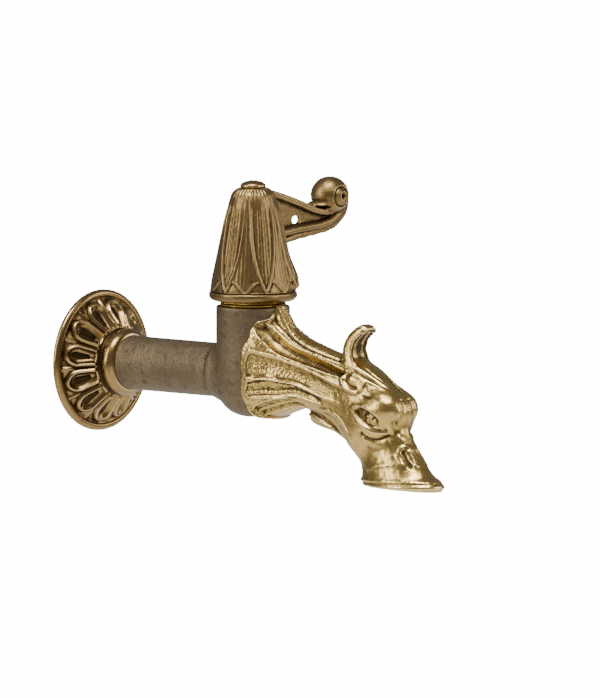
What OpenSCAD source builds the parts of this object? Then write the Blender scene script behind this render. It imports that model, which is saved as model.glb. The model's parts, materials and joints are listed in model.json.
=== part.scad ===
// Ornate garden wall tap (hose bib) with a lever handle on a quarter-turn ceramic-disc headwork.
// Origin: tail axis in the wall plane. +X leaves the wall along the pipe, +Z is up.
// At rest the lever lies along +Y, a quarter turn away from the spout: the tap is open.

/* [Pipe and tail thread] */
// Major radius of the G1/2 tail thread
tail_r = 10.4775; // [10.4:0.0025:10.5]
// Length of the tail thread behind the wall plane
tail_len = 14; // [10:0.5:18]
// Radius of the pipe between the wall and the barrel
pipe_r = 12; // [11.6:0.1:12.4]
// Radius of the inlet bore
inlet_r = 7.5; // [6:0.25:8]

/* [Barrel] */
// Distance from the wall plane to the barrel axis
barrel_x = 91; // [88:1:100]
// Outside radius of the barrel
barrel_r = 16.4; // [16.2:0.1:17]
// Height of the barrel's top face above the pipe axis
barrel_top = 30; // [29:0.5:32]
// Depth of the rounded foot below the pipe axis
barrel_foot = 19.5; // [19:0.5:22]

/* [Headwork] */
// Height of the valve seat above the pipe axis
seat_z = 10; // [9:0.5:11]
// Radius of the headwork thread in the barrel
headwork_r = 10.4; // [10.2:0.1:10.5]
// Radius of the bright flange above the barrel
flange_r = 14.6; // [14:0.2:15.4]
// Thickness of that flange
flange_t = 1.4; // [1.2:0.1:2]
// Radius of the spindle shaft
shaft_r = 5; // [4.6:0.1:5.2]
// Radius of the ceramic discs
disc_r = 8; // [7.6:0.1:8.2]

/* [Handle] */
// Radius of the bell's base band
bell_r = 19.6; // [19:0.1:20.5]
// Height of the bell's lower edge
bell_low = 32.2; // [31.8:0.2:34]
// Reach of the lever from the barrel axis to the scroll's far side
lever_reach = 60.3; // [58:0.1:70]
// Radius of the round scroll at the lever's end
scroll_r = 8.3; // [7:0.1:9]
// Half the height of the slot through the lever's web
web_hole_r = 1.65; // [1.5:0.05:2.2]

/* [Wall rosette] */
// Outside radius of the rosette
rosette_r = 31.5; // [30:0.5:35]
// Depth of the rosette from the wall to the front of its collar
rosette_depth = 20; // [18:0.5:22]
// Radial clearance between the rosette's bore and the pipe
rosette_gap = 0.1; // [0.05:0.01:0.1]

/* [Spout] */
// Radius of the water passage in the spout
passage_r = 4.8; // [4:0.1:5]
// Half of the width of the mouth's opening
mouth_r = 7; // [6:0.1:7.4]

/* [Hidden] */
$fn = 96;
fit = 0.05;                              // radial clearance of a shaft in its hole
tube_end = barrel_x - 10.5;              // where the inlet tube ends in the barrel's wall
seat_t = 3;                              // thickness of the seat partition
port_r = 8;                              // port through the seat
thread_bore_r = headwork_r + 0.03;       // tapped bore that takes the headwork
chamber_r = 12;                          // upper chamber around the headwork
chamber_top = seat_z + 10;
lower_chamber_r = 11;
lower_chamber_low = -13;
seal_t = 1;                              // flange seal in its counterbore
seal_r = 13;
seat_seal_t = 3;
disc_t = 3;                              // each ceramic disc
disc_gap = 0.02;                         // film between the two discs
fixed_low = seat_z + seat_seal_t;
moving_low = fixed_low + disc_t + disc_gap;
spindle_low = moving_low + disc_t;       // underside of the spindle's drive plate
plate_t = 2.5;
ring_low = spindle_low + plate_t;        // friction ring under the headwork's shoulder
ring_t = 0.95;
shoulder_z = ring_low + ring_t + fit;
hex_top = 38;
neck_r = 7.5;
neck_top = 50;
clip_low = neck_top + 0.3;
clip_t = 0.9;
square_low = 54;                         // driving square of the spindle
square_top = 70;
square_w = 7;
screw_len = 25;
screw_r = 2.5;
bell_top = 82.5;
screw_head_r = 5.75;
screw_head_h = 3.1;
lever_w = 0.8;                           // half of the web's thickness
rail_w = 3.6;                            // half of the upper rail's width
rail_t = 3.2;
lower_rail_w = 4.1;                      // half of the lower rail's width
lower_rail_t = 6;
o_ring_z = [32, 40];
o_ring_groove_r = 3.7;
o_ring_w = 1.6;

// Bell profile above its base band, as [radius, height] from the notch to the crown
bell_side = [[19.3, 36.8], [18.9, 39], [18.2, 42.6], [17.3, 46.8], [16.4, 51.5], [15.5, 56.3],
             [14.5, 61.5], [13.5, 66.8], [12.3, 71.5], [11.3, 75.2], [10.6, 77.5], [9.6, 80.1], [7.6, 81.9]];
bell_wall = 2.3;
bell_roof = 62;                          // where the bell becomes solid round the driving square
boss_r = 8;

// Upper edge of the lever's upper rail and lower edge of its lower rail, as [reach, height]
upper_rail = [[10, 80.6], [14.7, 79.4], [21.4, 77.4], [28.2, 75.3], [34.9, 72.8], [41.6, 70.7], [47.2, 69.7]];
lower_rail = [[12, 54.6], [22, 56.1], [29, 57.2], [37.5, 58.2], [46, 59.2], [51.3, 60.6], [56.8, 63.4],
              [60.2, 67.2], [61.2, 72]];
scroll_y = lever_reach - scroll_r;
scroll_z = 75.4;
web_hole = [28, 66];
web_hole_stretch = 0.8;                  // half the distance between the slot's round ends

// Spout sections as [upper x, upper z, lower x, lower z, half width, squareness], x from the barrel axis
spout_stations = [
    [0, 26.5, 0, -19, 15, 2.4], [10, 26.5, 9.5, -19.5, 15.3, 2.4], [22, 21.5, 17.5, -18.3, 14.6, 2.3],
    [29.5, 17.6, 24, -16, 13.4, 2.3], [39, 14.6, 31, -13.8, 12, 2.3], [49, 12, 37, -14.5, 11, 2.3],
    [59, 9.8, 45, -17.5, 10.5, 2.3], [68, 8.3, 52, -21.5, 10.6, 2.3], [77, 2, 57, -25.5, 11.3, 2.4],
    [86, -4, 60, -29, 11.8, 2.4], [90.5, -11, 63, -32.5, 10.5, 2.3], [89.5, -19.5, 65, -35.5, 8.5, 2.2],
    [95, -29, 65.8, -39, 9, 2.1], [102.8, -38.4, 65.5, -41.5, 10.5, 2], [109.3, -42.2, 64.5, -42.6, 11.5, 2],
    [108.8, -46, 66.5, -44, 10.7, 2]];
crest_stations = [
    [53, 6, 72, 3, 7, 2.4], [54.8, 10.5, 66.5, 8.5, 6.2, 2.8], [55.6, 15, 63.8, 13.6, 5.6, 3.2],
    [57.2, 19, 64.6, 17, 5.3, 3.2], [60.6, 23, 67, 19.6, 5, 3], [65.5, 25.8, 69.4, 20.9, 4.4, 2.6],
    [69, 24.6, 70.2, 21.6, 3.2, 2]];
beard_stations = [
    [37, -11.5, 36.2, -18.8, 4.4, 2], [40.5, -11.5, 39, -20.6, 5.4, 2], [46, -14, 45.5, -22, 6.2, 2],
    [52.5, -18.5, 51.5, -23, 6, 2], [59, -25, 57.5, -26.5, 4, 2]];
brow_stations = [
    [76, -3.5, 73.5, -9, 2, 2], [82, -5.4, 77.5, -13.5, 5.2, 2], [88.5, -9.6, 81.5, -17, 5.6, 2],
    [91, -15, 86, -18.6, 2.5, 2]];
brow_y = 6;

// Water passage inside the spout, as the spout's sections, each a circle of passage_r
port_z = 15;
passage = [[12, port_z, 90], [20, 13.5, 80], [30, 7, 62], [42, -0.5, 66], [58, -6.5, 62], [70, -15, 40],
           [76, -26, 15], [78, -40, 5]];   // [x, z, lean of the section's upper side above +x]
mouth_x = [76.5, 92];                    // ends of the mouth's opening, between its round ends' centres
mouth_roof = -38.5;

// --- helpers ---

// A washer or tube standing on z = low
module tube(r_out, r_in, low, h) {
    translate([0, 0, low]) difference() {
        cylinder(r = r_out, h = h);
        translate([0, 0, -1]) cylinder(r = r_in, h = h + 2);
    }
}

// Puts a shape on the barrel axis
module on_barrel() { translate([barrel_x, 0, 0]) children(); }

// Signed power, for superellipse sections
function spow(v, p) = sign(v) * pow(abs(v), p);

// Catmull-Rom value between stations b and c
function blend(a, b, c, d, t) =
    0.5 * (2 * b + (c - a) * t + (2 * a - 5 * b + 4 * c - d) * t * t + (3 * b - a - 3 * c + d) * t * t * t);

// Sections refined to `steps` between each pair of stations
function refined(s, steps) = [
    for (i = [0 : len(s) - 2], k = [0 : steps - 1])
        blend(s[max(i - 1, 0)], s[i], s[i + 1], s[min(i + 2, len(s) - 1)], k / steps),
    s[len(s) - 1]];

// One ring of points round a section
function ring(q, sides) = [for (j = [0 : sides - 1])
    let (a = 360 * j / sides, c = spow(cos(a), 2 / q[5]), w = spow(sin(a), 2 / q[5]))
    [(q[0] + q[2]) / 2 + c * (q[0] - q[2]) / 2, q[4] * w, (q[1] + q[3]) / 2 + c * (q[1] - q[3]) / 2]];

// A closed smooth solid through the stations
module loft(stations, sides, steps) {
    rows = refined(stations, steps);
    n = len(rows);
    points = [for (q = rows) each ring(q, sides)];
    walls = [for (i = [0 : n - 2], j = [0 : sides - 1])
        let (k = (j + 1) % sides, a = i * sides)
        each [[a + j, a + k, a + sides + k], [a + j, a + sides + k, a + sides + j]]];
    first = [for (j = [sides - 1 : -1 : 0]) j];
    last = [for (j = [0 : sides - 1]) (n - 1) * sides + j];
    polyhedron(points, concat(walls, [first, last]));
}

// A band of constant thickness below a line of [reach, height] points
module rail(points, thickness, half_width) {
    below = [for (i = [len(points) - 1 : -1 : 0])
        let (a = points[max(i - 1, 0)], b = points[min(i + 1, len(points) - 1)], d = (b - a) / norm(b - a))
        points[i] + thickness * [d[1], -d[0]]];
    across(half_width) polygon(concat(points, below));
}

// Extrudes a flat [y, z] outline symmetrically along x
module across(half_width) {
    rotate([90, 0, 90]) translate([0, 0, -half_width]) linear_extrude(height = 2 * half_width) children();
}

// --- inlet tube and barrel, brazed together ---

module inlet_tube() {
    color("#7a6a4c") rotate([0, 90, 0]) difference() {
        rotate_extrude() polygon([
            [0, -tail_len], [tail_r - 1, -tail_len], [tail_r, 1 - tail_len], [tail_r, 0], [pipe_r - 0.5, 0],
            [pipe_r, 0.5], [pipe_r, tube_end], [0, tube_end]]);
        translate([0, 0, -tail_len - 1]) cylinder(r = inlet_r, h = tube_end + tail_len + 2);
    }
}

// Barrel with its bulging foot and the swelling round the inlet tube's socket
module barrel_outside() {
    foot_h = barrel_foot - 3;
    face = barrel_x - barrel_r;
    on_barrel() rotate_extrude() polygon(concat(
        [[0, barrel_top], [barrel_r - 0.4, barrel_top], [barrel_r, barrel_top - 0.4]],
        [for (a = [0 : 7.5 : 90])
            [barrel_r * spow(cos(a), 0.87), -3 - foot_h * spow(sin(a), 0.87)]]));
    rotate([0, 90, 0]) rotate_extrude() polygon([
        [0, face - 3.5], [pipe_r + 0.1, face - 3.5], [pipe_r + 0.4, face - 1], [pipe_r + 1, face + 1],
        [pipe_r + 2, face + 2.6], [pipe_r + 2, face + 8], [0, face + 8]]);
}

module barrel() {
    color("#7a6a4c") difference() {
        barrel_outside();
        rotate([0, 90, 0]) {
            cylinder(r = pipe_r + 0.02, h = tube_end);
            cylinder(r = inlet_r + 0.5, h = barrel_x);
        }
        on_barrel() {
            chamber_low = lower_chamber_low;
            translate([0, 0, chamber_low]) cylinder(r = lower_chamber_r, h = seat_z - seat_t - chamber_low);
            cylinder(r = port_r, h = seat_z + 1);
            translate([0, 0, seat_z]) cylinder(r = chamber_r, h = chamber_top - seat_z);
            translate([0, 0, seat_z]) cylinder(r = thread_bore_r, h = barrel_top);
            translate([0, 0, barrel_top - seal_t]) cylinder(r = seal_r + fit, h = barrel_top);
            translate([0, 0, port_z]) rotate([0, 90, 0]) cylinder(r = passage_r, h = 2 * barrel_r);
        }
    }
}

module spout() {
    passage_stations = [for (p = passage) let (c = passage_r * cos(p[2]), w = passage_r * sin(p[2]))
        [p[0] + c, p[1] + w, p[0] - c, p[1] - w, passage_r, 2]];
    color("#c9a648") difference() {
        on_barrel() union() {
            loft(spout_stations, 28, 2);
            loft(crest_stations, 14, 2);
            loft(beard_stations, 14, 2);
            for (side = [-1, 1]) translate([0, side * brow_y, 0]) loft(brow_stations, 12, 2);
        }
        on_barrel() {
            translate([0, 0, -60]) cylinder(r = barrel_r, h = 120);
            loft(passage_stations, 20, 2);
            translate([0, 0, mouth_roof - 12]) linear_extrude(height = 12) polygon([
                for (end = [0, 1], a = [-90 : 20 : 90])
                    [mouth_x[1 - end], 0] + mouth_r * [cos(a + 180 * end), sin(a + 180 * end)]]);
        }
    }
}

// --- headwork, fixed in the barrel ---

module headwork_body() {
    window_low = fixed_low + disc_t + 0.4;
    color("#e0c060") on_barrel() difference() {
        union() {
            tube(disc_r + 1.5, disc_r - 1, seat_z + 0.4, shoulder_z - seat_z);
            tube(headwork_r, shaft_r, chamber_top + 0.5, barrel_top - chamber_top);
            rotate_extrude() polygon([[shaft_r, barrel_top], [flange_r - 0.3, barrel_top],
                [flange_r, barrel_top + 0.4], [flange_r, barrel_top + flange_t - 0.5],
                [flange_r - 0.5, barrel_top + flange_t], [shaft_r, barrel_top + flange_t]]);
            translate([0, 0, barrel_top + flange_t]) cylinder(r = 13.85, h = hex_top - barrel_top - flange_t, $fn = 6);
            translate([0, 0, hex_top - 1]) cylinder(r = neck_r, h = neck_top - hex_top + 1);
        }
        translate([0, 0, seat_z]) cylinder(r = disc_r + 0.1, h = shoulder_z - seat_z);
        translate([0, 0, seat_z]) cylinder(r = shaft_r + fit, h = neck_top);
        translate([-20, -4.5, window_low]) cube([40, 9, spindle_low + 1.4 - window_low]);
    }
}

module headwork_seal() {
    color("#3a3532") on_barrel() tube(seal_r, headwork_r + 0.2, barrel_top - seal_t, seal_t);
}

module seat_seal() {
    color("#2c2c2e") on_barrel() tube(disc_r, disc_r - 1.9, seat_z, seat_seal_t);
}

module seal_support_ring() {
    color("#d9d6cc") on_barrel() tube(disc_r - 1.9 - fit, disc_r - 3, seat_z + 0.5, seat_seal_t - 0.5);
}

// A ceramic disc with two facing sector ports
module ceramic_disc(low, radius) {
    difference() {
        translate([0, 0, low]) cylinder(r = radius, h = disc_t);
        for (turn = [0, 180]) rotate([0, 0, turn]) translate([0, 0, low - 1]) linear_extrude(height = disc_t + 2)
            intersection() {
                difference() {
                    circle(r = radius - 2.9);
                    circle(r = 1.5);
                }
                polygon([[0, 0], [12, -10], [12, 10]]);
            }
    }
}

module fixed_disc() { color("#f1efe8") on_barrel() ceramic_disc(fixed_low, disc_r); }

// --- moving pieces on the spindle ---

module moving_disc() {
    color("#e4e0d4") on_barrel() difference() {
        ceramic_disc(moving_low, disc_r - 0.1);
        for (side = [-1, 1]) translate([-1.6, side * 6.6 - 1.4, spindle_low - 1]) cube([3.2, 2.8, 2]);
    }
}

module friction_ring() {
    color("#e8e6df") on_barrel() tube(disc_r - 0.1, shaft_r + 0.1, ring_low, ring_t);
}

module spindle() {
    color("#c8a552") on_barrel() difference() {
        union() {
            difference() {
                translate([0, 0, spindle_low]) cylinder(r = disc_r - 0.1, h = plate_t);
                translate([-10, -3.6, spindle_low - 1]) cube([20, 7.2, 2.4]);
            }
            for (side = [-1, 1]) intersection() {
                translate([-1.5, side * 6.6 - 1.3, spindle_low - 0.95]) cube([3, 2.6, 2]);
                translate([0, 0, spindle_low - 1]) cylinder(r = disc_r - 0.15, h = 3);
            }
            difference() {
                translate([0, 0, spindle_low + 1.4]) cylinder(r = shaft_r, h = square_low - spindle_low - 1.4);
                for (z = o_ring_z) tube(shaft_r + 1, o_ring_groove_r, z, o_ring_w);
                tube(shaft_r + 1, shaft_r - 0.8, clip_low - fit, clip_t + 2 * fit);
            }
            translate([-square_w / 2, -square_w / 2, square_low - 1])
                cube([square_w, square_w, square_top - square_low + 1]);
        }
        translate([0, 0, square_top - screw_len + 8]) cylinder(r = screw_r, h = screw_len);
    }
}

module spindle_o_rings() {
    color("#1f1f21") on_barrel() for (z = o_ring_z) translate([0, 0, z + o_ring_w / 2]) rotate_extrude()
        translate([o_ring_groove_r + 0.67, 0]) circle(r = 0.65, $fn = 32);
}

module spindle_circlip() {
    color("#9c9ea2") on_barrel() difference() {
        tube(shaft_r + 1.6, shaft_r - 0.75, clip_low, clip_t);
        translate([0, -1.6, clip_low - 1]) cube([12, 3.2, clip_t + 2]);
    }
}

// Bell of the handle: base band, notch and tapering side, hollow up to its roof
module bell() {
    inner = [for (p = bell_side) if (p[1] < bell_roof) [p[0] - bell_wall, p[1]]];
    difference() {
        rotate_extrude() polygon(concat(
            [[0, bell_low], [bell_r - 2.4, bell_low], [bell_r - 0.6, bell_low + 1.2], [bell_r, bell_low + 2.6],
             [bell_r, bell_low + 3.4], [bell_r - 0.8, bell_low + 4.2]],
            bell_side, [[screw_head_r + 0.3, bell_top], [0, bell_top]]));
        rotate_extrude() polygon(concat([[0, bell_low - 1], [bell_r - 3.6, bell_low - 1], [bell_r - 3.4, bell_low]],
            inner, [[11.6, bell_roof], [0, bell_roof]]));
    }
    tube(boss_r, 3, square_low + 0.5, bell_roof - square_low);
}

// Lever: a thin web between two rails, ending in a round scroll
module lever() {
    web = concat([for (p = upper_rail) p - [0, 1]], [[scroll_y, scroll_z], lower_rail[len(lower_rail) - 1] - [2, 0]],
        [for (i = [len(lower_rail) - 2 : -1 : 0]) lower_rail[i] + [0, 1]]);
    difference() {
        union() {
            across(lever_w) polygon(web);
            rail(upper_rail, rail_t, rail_w);
            rail([for (i = [len(lower_rail) - 1 : -1 : 0]) lower_rail[i]], lower_rail_t, lower_rail_w);
            translate([0, scroll_y, scroll_z]) sphere(r = scroll_r);
        }
        across(20) translate(web_hole) {
            for (side = [-1, 1]) translate([side * web_hole_stretch, 0]) circle(r = web_hole_r, $fn = 48);
            square([2 * web_hole_stretch, 2 * web_hole_r], center = true);
        }
    }
}

module handle() {
    color("#8c6f3a") on_barrel() difference() {
        union() {
            bell();
            difference() {
                lever();
                translate([0, 0, bell_low]) cylinder(r = 9, h = bell_top);
            }
        }
        half = square_w / 2 + fit;
        translate([-half, -half, square_low]) cube([2 * half, 2 * half, square_top + 0.2 - square_low]);
        translate([0, 0, square_top]) cylinder(r = screw_r + 0.2, h = 20);
    }
}

// Domed screw with a hexagon socket
module handle_screw() {
    dome_r = (screw_head_r * screw_head_r + screw_head_h * screw_head_h) / (2 * screw_head_h);
    color("#b8995a") on_barrel() difference() {
        union() {
            intersection() {
                translate([0, 0, bell_top + screw_head_h - dome_r]) sphere(r = dome_r);
                translate([0, 0, bell_top]) cylinder(r = screw_head_r, h = 10);
            }
            translate([0, 0, bell_top - screw_len]) cylinder(r = screw_r - fit, h = screw_len + 0.5);
        }
        translate([0, 0, bell_top + 0.9]) cylinder(r = 1.73, h = 5, $fn = 6);
    }
}

// --- wall rosette ---

module wall_rosette() {
    collar_low = rosette_depth - 7.5;
    edge = rosette_r;
    color("#a8823a") rotate([0, 90, 0]) difference() {
        union() {
            rotate_extrude() polygon([
                [0, 0], [edge - 0.8, 0], [edge, 0.8], [edge, 1.8], [edge - 0.4, 2.5], [edge - 1.2, 2.9],
                [edge - 3.2, 2.9], [edge - 3.8, 2.3], [edge - 4.4, 2.9], [edge - 6, 4.4], [edge - 8.5, 6.1],
                [edge - 11, 8], [edge - 13.5, 10.2], [edge - 15.2, 12], [edge - 16.2, collar_low], [0, collar_low]]);
            rotate_extrude() polygon(concat([[0, collar_low - 0.5], [13.4, collar_low - 0.5]],
                [for (a = [-60 : 15 : 90]) [11.9 + 2.9 * cos(a), collar_low + 3.75 + 3.75 * sin(a)]],
                [[0, rosette_depth]]));
        }
        rotate_extrude() polygon([[0, -1], [edge - 2.6, -1], [edge - 2.6, 0.4], [edge - 7, 2.2],
            [edge - 12, 5.6], [edge - 16, 9], [0, 9]]);
        cylinder(r = pipe_r + rosette_gap, h = 60);
    }
}

inlet_tube();
barrel();
spout();
headwork_body();
headwork_seal();
seat_seal();
seal_support_ring();
fixed_disc();
moving_disc();
friction_ring();
spindle();
spindle_o_rings();
spindle_circlip();
handle();
handle_screw();
wall_rosette();
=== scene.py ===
"""Ornate garden wall tap: the sculpted brass that replaces the plain castings, its materials and the studio.

Lengths inside the script are in millimetres in the row frame and become metres in mesh_object().
x runs out of the wall along the pipe, z up the barrel, y along the lever at rest.
"""
import itertools
import json
import math

import bpy
import numpy as np
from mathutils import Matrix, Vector


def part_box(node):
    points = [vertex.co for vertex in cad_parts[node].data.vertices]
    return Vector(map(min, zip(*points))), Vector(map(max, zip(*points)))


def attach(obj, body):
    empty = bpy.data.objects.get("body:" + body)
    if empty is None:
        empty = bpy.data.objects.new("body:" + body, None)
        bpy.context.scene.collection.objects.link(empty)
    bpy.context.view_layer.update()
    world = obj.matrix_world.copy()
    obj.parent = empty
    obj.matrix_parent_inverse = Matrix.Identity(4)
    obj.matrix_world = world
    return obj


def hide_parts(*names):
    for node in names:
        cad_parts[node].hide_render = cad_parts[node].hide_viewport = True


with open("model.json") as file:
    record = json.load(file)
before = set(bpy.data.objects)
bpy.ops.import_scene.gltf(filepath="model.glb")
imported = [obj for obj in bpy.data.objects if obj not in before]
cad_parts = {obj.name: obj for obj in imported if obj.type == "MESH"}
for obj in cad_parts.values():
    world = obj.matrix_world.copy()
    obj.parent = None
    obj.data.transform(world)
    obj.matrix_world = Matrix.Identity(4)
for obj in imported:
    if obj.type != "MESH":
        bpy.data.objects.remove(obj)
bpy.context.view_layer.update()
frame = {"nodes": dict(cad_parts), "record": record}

MM = 1000.0
DEG = math.pi / 180


def cad_box(node):
    """Lowest and highest corner of a CAD node, in millimetres."""
    low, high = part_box(node)
    return np.array(low) * MM, np.array(high) * MM


barrel_low, barrel_high = cad_box("barrel")
screw_low, screw_high = cad_box("handle_screw")
handle_low = cad_box("handle")[0]
rosette_depth, rosette_r = cad_box("wall_rosette")[1][:2]
spout_end = cad_box("spout")[1][0]
barrel_r = (barrel_high[1] - barrel_low[1]) / 2
barrel_x = barrel_high[0] - barrel_r
barrel_top = barrel_high[2]
barrel_foot = -barrel_low[2]
bell_low = handle_low[2]
bell_r = barrel_x - handle_low[0]
pipe_r = 12.0


# ---- small maths

def smooth(low, high, v):
    """0 below low, 1 above high, smooth in between."""
    t = np.clip((v - low) / (high - low), 0, 1)
    return t * t * (3 - 2 * t)


def bump(v, centre, width):
    """A smooth hill of height 1."""
    return np.exp(-((v - centre) / width) ** 2)


def smooth_min(a, b, k):
    """Union of two distances, blended over k."""
    h = np.clip(0.5 + 0.5 * (b - a) / k, 0, 1)
    return b * (1 - h) + a * h - k * h * (1 - h)


def smooth_max(a, b, k):
    """Overlap of two distances, blended over k."""
    return -smooth_min(-a, -b, k)


def ellipsoid(xyz, centre, radii, slope=0.0):
    """1 on an ellipsoid and less inside it. slope shears it, so that z rises with x."""
    x, y, z = (v - c for v, c in zip(xyz, centre))
    return np.sqrt((x / radii[0]) ** 2 + (y / radii[1]) ** 2 + ((z - slope * x) / radii[2]) ** 2)


def curve_distance(p, points):
    """Distance from points p (one per row) to a polyline, and how far along it, from 0 to 1."""
    points = np.asarray(points, float)
    best = np.full(len(p), 1e9)
    along = np.zeros(len(p))
    for i in range(len(points) - 1):
        a, b = points[i], points[i + 1]
        d = b - a
        t = np.clip(((p - a) @ d) / (d @ d), 0, 1)
        r = np.linalg.norm(p - a - t[:, None] * d, axis=1)
        nearer = r < best
        best[nearer] = r[nearer]
        along[nearer] = ((i + t) / (len(points) - 1))[nearer]
    return best, along


def lumpy(p, scale, seed):
    """A smooth pseudo-random field in about -1..1, from a few fixed waves."""
    rng = np.random.default_rng(seed)
    total = np.zeros(len(p))
    for _ in range(6):
        direction = rng.normal(size=3)
        direction /= np.linalg.norm(direction)
        phase = rng.uniform(0, 2 * math.pi)
        total += np.sin((p @ direction) * (2 * math.pi / scale) * rng.uniform(0.7, 1.4) + phase)
    return total / 6


# ---- meshes

def mesh_object(name, points, faces, attributes):
    """A smooth-shaded mesh from points in millimetres, with named point attributes."""
    mesh = bpy.data.meshes.new(name)
    points = np.asarray(points, np.float32) / MM
    faces = np.asarray(faces, np.int32)
    sides = faces.shape[1]
    mesh.vertices.add(len(points))
    mesh.vertices.foreach_set("co", points.ravel())
    mesh.loops.add(faces.size)
    mesh.loops.foreach_set("vertex_index", faces.ravel())
    mesh.polygons.add(len(faces))
    mesh.polygons.foreach_set("loop_start", np.arange(0, faces.size, sides, dtype=np.int32))
    mesh.polygons.foreach_set("loop_total", np.full(len(faces), sides, np.int32))
    mesh.polygons.foreach_set("use_smooth", np.ones(len(faces), bool))
    mesh.update(calc_edges=True)
    for key, values in attributes.items():
        layer = mesh.attributes.new(key, "FLOAT", "POINT")
        layer.data.foreach_set("value", np.asarray(values, np.float32))
    obj = bpy.data.objects.new(name, mesh)
    bpy.context.scene.collection.objects.link(obj)
    return obj


def neighbour_mean(values, faces):
    """Mean of each point's neighbours, from one row of values per point."""
    total, count = np.zeros_like(values), np.zeros(len(values))
    sides = faces.shape[1]
    for k in range(sides):
        a, b = faces[:, k], faces[:, (k + 1) % sides]
        for one, other in ((a, b), (b, a)):
            count += np.bincount(one, minlength=len(values))
            for axis in range(values.shape[1]):
                total[:, axis] += np.bincount(one, values[other, axis], minlength=len(values))
    return total / np.maximum(count, 1)[:, None]


def relaxed(points, faces, rounds):
    """Taubin smoothing, which keeps the size."""
    for _ in range(rounds):
        for weight in (0.5, -0.52):
            points = points + weight * (neighbour_mean(points, faces) - points)
    return points


def point_normals(points, faces):
    """Unit normal of each point of a mesh of quads."""
    a, b, c, d = (points[faces[:, k]] for k in range(4))
    across = np.cross(c - a, d - b)
    normals = np.zeros_like(points)
    for k in range(4):
        for axis in range(3):
            normals[:, axis] += np.bincount(faces[:, k], across[:, axis], minlength=len(points))
    return normals / np.maximum(np.linalg.norm(normals, axis=1), 1e-9)[:, None]


# The brass reads this: proud points get bright rubbed edges, and hollow points get painted shade.
def wear_and_shade(points, faces, rounds, gain):
    """How far each point stands proud (+) or lies hollow (-) of its smoothed surroundings, about -1..1."""
    far = points
    for _ in range(rounds):
        far = neighbour_mean(far, faces)
    height = ((points - far) * point_normals(points, faces)).sum(1)
    return np.clip(height * gain, -1, 1)


def grid_faces(rows, columns):
    """Quads of a rows x columns sheet, closed round its columns."""
    i, j = (v.ravel() for v in np.meshgrid(np.arange(rows - 1), np.arange(columns), indexing="ij"))
    k = (j + 1) % columns
    return np.stack([i * columns + j, i * columns + k, (i + 1) * columns + k, (i + 1) * columns + j], 1)


def spread_profile(points, count):
    """A polyline of [radius, height] resampled evenly by length."""
    points = np.asarray(points, float)
    length = np.concatenate([[0], np.cumsum(np.linalg.norm(np.diff(points, axis=0), axis=1))])
    at = np.linspace(0, length[-1], count)
    return np.stack([np.interp(at, length, points[:, 0]), np.interp(at, length, points[:, 1])], 1)


def rounded(points, rounds=2):
    """Chaikin corner cutting of an open polyline."""
    points = np.asarray(points, float)
    for _ in range(rounds):
        a, b = points[:-1], points[1:]
        cut = np.stack([0.75 * a + 0.25 * b, 0.25 * a + 0.75 * b], 1).reshape(-1, points.shape[1])
        points = np.concatenate([points[:1], cut, points[-1:]])
    return points


def turned(profile, columns, relief):
    """Points and faces of a closed turned shape round z. relief(angle, radius, height) stands out along the
    profile's own normal. The profile's two ends lie on the axis or meet."""
    profile = np.asarray(profile, float)
    angle = np.linspace(0, 2 * math.pi, columns, endpoint=False)
    r = np.repeat(profile[:, :1], columns, 1)
    z = np.repeat(profile[:, 1:], columns, 1)
    a = np.repeat(angle[None], len(profile), 0)
    tangent = np.gradient(profile, axis=0)
    tangent /= np.maximum(np.linalg.norm(tangent, axis=1), 1e-9)[:, None]
    out = relief(a, r, z)
    r = r + out * tangent[:, 1:]
    z = z - out * tangent[:, :1]
    points = np.stack([r * np.cos(a), r * np.sin(a), z], -1).reshape(-1, 3)
    return points, grid_faces(len(profile), columns)


def along_x(points):
    """Turns a shape that was turned round z so that it runs along x."""
    return points[:, [2, 0, 1]]


def surface_net(field, low, step):
    """Quads on the zero level of a field that is negative inside, one point per crossed cell."""
    inside = field < 0
    corners = [(i, j, k) for i in (0, 1) for j in (0, 1) for k in (0, 1)]
    shape = np.array(field.shape) - 1
    filled = sum(inside[tuple(slice(c, c + n) for c, n in zip(corner, shape))].astype(np.int8)
                 for corner in corners)
    cells = np.argwhere((filled > 0) & (filled < 8))
    index = np.full(shape, -1, np.int64)
    index[tuple(cells.T)] = np.arange(len(cells))
    values = np.stack([field[cells[:, 0] + i, cells[:, 1] + j, cells[:, 2] + k] for i, j, k in corners], 1)
    total = np.zeros((len(cells), 3))
    count = np.zeros(len(cells))
    for a, b in itertools.combinations(range(8), 2):
        offset = np.array(corners[b]) - corners[a]
        if abs(offset).sum() == 1:
            va, vb = values[:, a], values[:, b]
            crossed = (va < 0) != (vb < 0)
            t = np.where(crossed, va / np.where(va == vb, 1, va - vb), 0)
            total += crossed[:, None] * (np.array(corners[a]) + t[:, None] * offset)
            count += crossed
    points = low + step * (cells + total / count[:, None])
    faces, unit = [], np.eye(3, dtype=int)
    for axis in range(3):
        u, v = (axis + 1) % 3, (axis + 2) % 3
        edges = np.argwhere(np.diff(inside.astype(np.int8), axis=axis))
        within_u, within_v = ((edges[:, i] > 0) & (edges[:, i] < shape[i]) for i in (u, v))
        edges = edges[within_u & within_v]
        beside = [du * unit[u] + dv * unit[v] for du, dv in ((1, 1), (0, 1), (0, 0), (1, 0))]
        quad = np.stack([index[tuple((edges - offset).T)] for offset in beside], 1)
        faces.append(np.where(inside[tuple(edges.T)][:, None], quad, quad[:, ::-1]))
    return points, np.concatenate(faces)


# ---- lofted shapes as fields

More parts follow.
